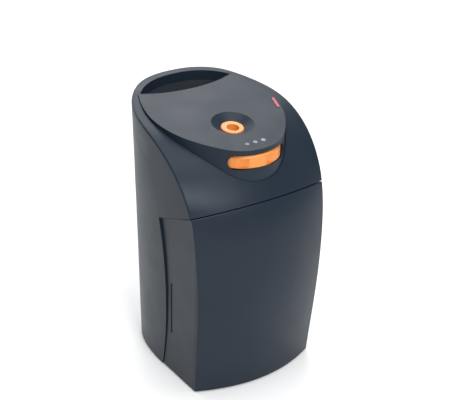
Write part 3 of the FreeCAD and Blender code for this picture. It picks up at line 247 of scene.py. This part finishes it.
def circuit_board(name, colour):
    """Green solder mask with paler copper tracks under it."""
    paint = Paint(name, colour, 0.35, Coat_Weight=0.5)
    cells = paint.add("ShaderNodeTexVoronoi", feature="DISTANCE_TO_EDGE", distance="CHEBYCHEV")
    cells.inputs["Scale"].default_value = 240.0
    paint.link(paint.place, cells.inputs["Vector"])
    track = paint.remap(cells.outputs["Distance"], 0.08, 0.11, 1.0, 0.0)
    paint.tint(track, (0.10, 0.36, 0.14))
    paint.relief(track, 0.05, 0.8)
    return paint.material


def clear_red(name, colour):
    """Dark red lens plastic with a faint glow and uneven depth."""
    paint = Paint(name, colour, 0.4, Coat_Weight=0.1, Emission_Strength=0.03)
    paint.set("Emission Color", (0.9, 0.05, 0.14, 1.0))
    paint.tint(paint.remap(paint.noise(2.0, detail=2.0), 0.3, 0.7), (0.42, 0.02, 0.07))
    paint.relief(paint.noise(0.9, detail=1.0), 0.02, 0.4)
    return paint.material


def printed_grey(name, colour):
    """Pale grey dots that fade from right to left across the row."""
    paint = Paint(name, colour, 0.5)
    across = paint.add("ShaderNodeSeparateXYZ")
    paint.link(paint.place, across.inputs["Vector"])
    fading = paint.remap(across.outputs["X"], -7.0 * MM, 7.0 * MM, 0.72, 0.0)
    paint.tint(fading, (0.10, 0.12, 0.14))
    paint.relief(paint.noise(0.4, detail=2.0), 0.01, 0.6)
    return paint.material


MATERIALS = {
    "housing": moulded("housing_grain", HOUSING, 0.40, Specular_IOR_Level=GRAINED_SPECULAR),
    "drawer_plastic": moulded("drawer_grain", HOUSING, 0.38, Specular_IOR_Level=GRAINED_SPECULAR),
    "cup_plastic": moulded("cup_smooth", (0.028, 0.034, 0.044), 0.5, grain_depth=0.008),
    "inner_plastic": moulded("inner_grey", (0.085, 0.09, 0.097), 0.55, cloud=0.15),
    "base_plastic": moulded("base_black", (0.026, 0.028, 0.032), 0.6, grain_depth=0.02),
    "bin_plastic": moulded("bin_smoke", (0.05, 0.056, 0.066), 0.34, grain_depth=0.004),
    "gear_plastic": moulded("acetal", (0.74, 0.72, 0.66), 0.38, grain_depth=0.004, cloud=0.04,
                            Subsurface_Weight=0.1),
    "orange": gloss_orange("orange_plastic", (0.74, 0.225, 0.027)),
    "mark_grey": printed_grey("mark_grey_print", (0.27, 0.30, 0.34)),
    "lamp_red": clear_red("lamp_lens", (0.30, 0.006, 0.03)),
    "steel": turned_metal("turned_steel", (0.60, 0.60, 0.61), 0.30),
    "cutter_steel": turned_metal("ground_steel", (0.42, 0.42, 0.44), 0.24),
    "plate_steel": sheet_metal("plated_sheet", (0.62, 0.62, 0.61), 0.34),
    "motor_can": sheet_metal("motor_can_steel", (0.52, 0.52, 0.54), 0.30),
    "brass": turned_metal("turned_brass", (0.76, 0.56, 0.24), 0.28),
    "zinc": cast_metal("die_cast_zinc", (0.50, 0.51, 0.52), 0.46),
    "magnet": cast_metal("ferrite", (0.10, 0.10, 0.105), 0.6),
    "rubber": rubber("foot_rubber", (0.022, 0.022, 0.023)),
    "board_green": circuit_board("circuit_board", (0.02, 0.15, 0.06)),
    "component": moulded("component_black", (0.03, 0.03, 0.034), 0.45, grain_mm=0.3, scuffs=False),
    "inlet_black": moulded("inlet_gloss", (0.014, 0.014, 0.016), 0.28, grain_depth=0.003, scuffs=False),
}


def paint_nodes():
    """Gives every CAD node the material of its slot in the record."""
    for part in frame["record"]["subparts"]:
        node = nodes[part["node"]]
        for slot in node.material_slots:
            slot.material = MATERIALS[part["material_slot"]]


# ---------------------------------------------------------------- floor, light and camera
def make_floor():
    """One wide pale sheet that rises behind the object in a smooth sweep."""
    profile = [(FLOOR_FRONT, 0.0), (FLOOR_LEVEL_END, 0.0)]
    for step in range(1, FLOOR_SWEEP_STEPS + 1):
        angle = math.pi / 2 * step / FLOOR_SWEEP_STEPS
        back = FLOOR_LEVEL_END + FLOOR_SWEEP_RADIUS * math.sin(angle)
        profile.append((back, FLOOR_SWEEP_RADIUS * (1 - math.cos(angle))))
    profile.append((FLOOR_LEVEL_END + FLOOR_SWEEP_RADIUS, FLOOR_TOP))
    verts = [(x, y, z) for y, z in profile for x in (-FLOOR_HALF_WIDTH, FLOOR_HALF_WIDTH)]
    faces = [(2 * row, 2 * row + 1, 2 * row + 3, 2 * row + 2) for row in range(len(profile) - 1)]
    mesh = bpy.data.meshes.new("floor")
    mesh.from_pydata(verts, [], faces)
    for polygon in mesh.polygons:
        polygon.use_smooth = True
    floor = bpy.data.objects.new("floor", mesh)
    bpy.context.scene.collection.objects.link(floor)
    paint = Paint("floor_paper", (0.88, 0.88, 0.88), 0.6, Emission_Strength=0.07)
    paint.tint(paint.remap(paint.noise(300.0), 0.3, 0.7), (0.91, 0.91, 0.91))
    mesh.materials.append(paint.material)


def add_softbox(name, azimuth, elevation, distance, width, height, power):
    """A rectangular light aimed at the middle of the object; azimuth 0 is in front, 90 to the left."""
    centre = (cad_low + cad_high) / 2
    turn = math.radians(azimuth)
    rise = math.radians(elevation)
    away = Vector((-math.sin(turn) * math.cos(rise), -math.cos(turn) * math.cos(rise), math.sin(rise)))
    light = bpy.data.lights.new(name, "AREA")
    light.shape = "RECTANGLE"
    light.size = width
    light.size_y = height
    light.energy = power
    lamp = bpy.data.objects.new(name, light)
    lamp.location = centre + away * distance
    lamp.rotation_mode = "QUATERNION"
    lamp.rotation_quaternion = (-away).to_track_quat("-Z", "Y")
    bpy.context.scene.collection.objects.link(lamp)


def make_light():
    """Soft boxes above, in front and behind, under an even pale sky."""
    for box in SOFTBOXES:
        add_softbox(*box)
    world = bpy.data.worlds.new("studio")
    world.use_nodes = True
    background = world.node_tree.nodes["Background"]
    background.inputs["Color"].default_value = SKY_COLOUR
    background.inputs["Strength"].default_value = SKY_STRENGTH
    bpy.context.scene.world = world


def make_camera():
    """A long lens from the front left, looking down at 26 degrees."""
    aim = Vector(CAMERA_AIM) * MM
    azimuth = math.radians(CAMERA_AZIMUTH)
    elevation = math.radians(CAMERA_ELEVATION)
    back = Vector((math.sin(azimuth) * math.cos(elevation), -math.cos(azimuth) * math.cos(elevation),
                   math.sin(elevation)))
    camera = bpy.data.cameras.new("camera")
    camera.lens = CAMERA_LENS
    camera.sensor_width = CAMERA_SENSOR
    camera.clip_start = CAMERA_CLIP_START
    eye = bpy.data.objects.new("camera", camera)
    eye.location = aim + back * CAMERA_DISTANCE
    eye.rotation_mode = "QUATERNION"
    eye.rotation_quaternion = (-back).to_track_quat("-Z", "Y")
    bpy.context.scene.collection.objects.link(eye)
    bpy.context.scene.camera = eye
    bpy.context.scene.view_settings.view_transform = "Standard"


paint_nodes()
make_floor()
make_light()
make_camera()
